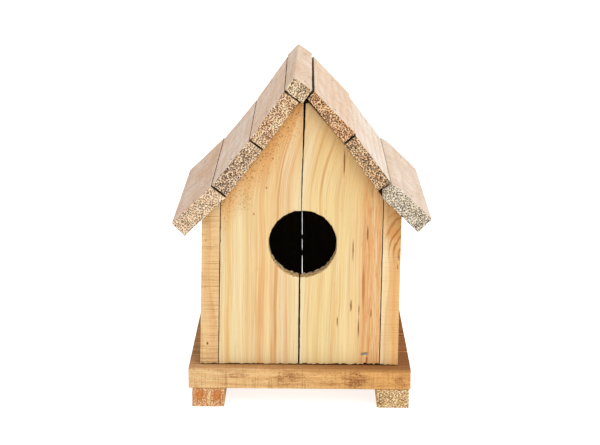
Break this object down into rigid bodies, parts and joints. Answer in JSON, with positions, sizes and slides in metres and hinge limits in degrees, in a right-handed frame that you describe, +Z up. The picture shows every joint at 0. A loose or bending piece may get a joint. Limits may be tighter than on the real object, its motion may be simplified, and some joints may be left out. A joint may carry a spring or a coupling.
{
  "type": "birdhouse",
  "caption": "Small wooden birdhouse with a steep gabled roof of rough boards, a round entrance hole, a slatted base and two runner feet.",
  "frame": {"origin": "on the ground, under the middle of the overall box", "axes": "+X to the right seen from the front, +Y to the back, +Z up; the entrance hole faces -Y"},
  "size_m": [0.1828, 0.1864, 0.2399],
  "materials": {
    "front_pine": "planed, unfinished",
    "side_pine": "rough sawn edges, unfinished",
    "back_pine": "planed, unfinished",
    "roof_pine": "rough sawn, weathered pale",
    "base_pine": "rough sawn, unfinished",
    "runner_pine": "rough sawn, unfinished",
    "wire_steel": "dull galvanised wire"
  },
  "bodies": {
    "root": {"back_board_left": "back_pine", "back_board_right": "back_pine", "back_staples": "wire_steel", "base_brads": "wire_steel", "base_slat_1": "base_pine", "base_slat_2": "base_pine", "base_slat_3": "base_pine", "base_slat_4": "base_pine", "floor_brads": "wire_steel", "floor_slat_front": "base_pine", "floor_slat_middle": "base_pine", "floor_slat_rear": "base_pine", "front_board_left": "front_pine", "front_board_right": "front_pine", "front_staple": "wire_steel", "ridge_brads": "wire_steel", "ridge_strip": "roof_pine", "roof_brads_left": "wire_steel", "roof_brads_right": "wire_steel", "roof_left_eave": "roof_pine", "roof_left_middle": "roof_pine", "roof_left_upper": "roof_pine", "roof_right_eave": "roof_pine", "roof_right_middle": "roof_pine", "roof_right_upper": "roof_pine", "runner_left": "runner_pine", "runner_right": "runner_pine", "side_brads_left": "wire_steel", "side_brads_right": "wire_steel", "side_left_front": "side_pine", "side_left_middle": "side_pine", "side_left_rear": "side_pine", "side_right_front": "side_pine", "side_right_middle": "side_pine", "side_right_rear": "side_pine"}
  },
  "joints": []
}
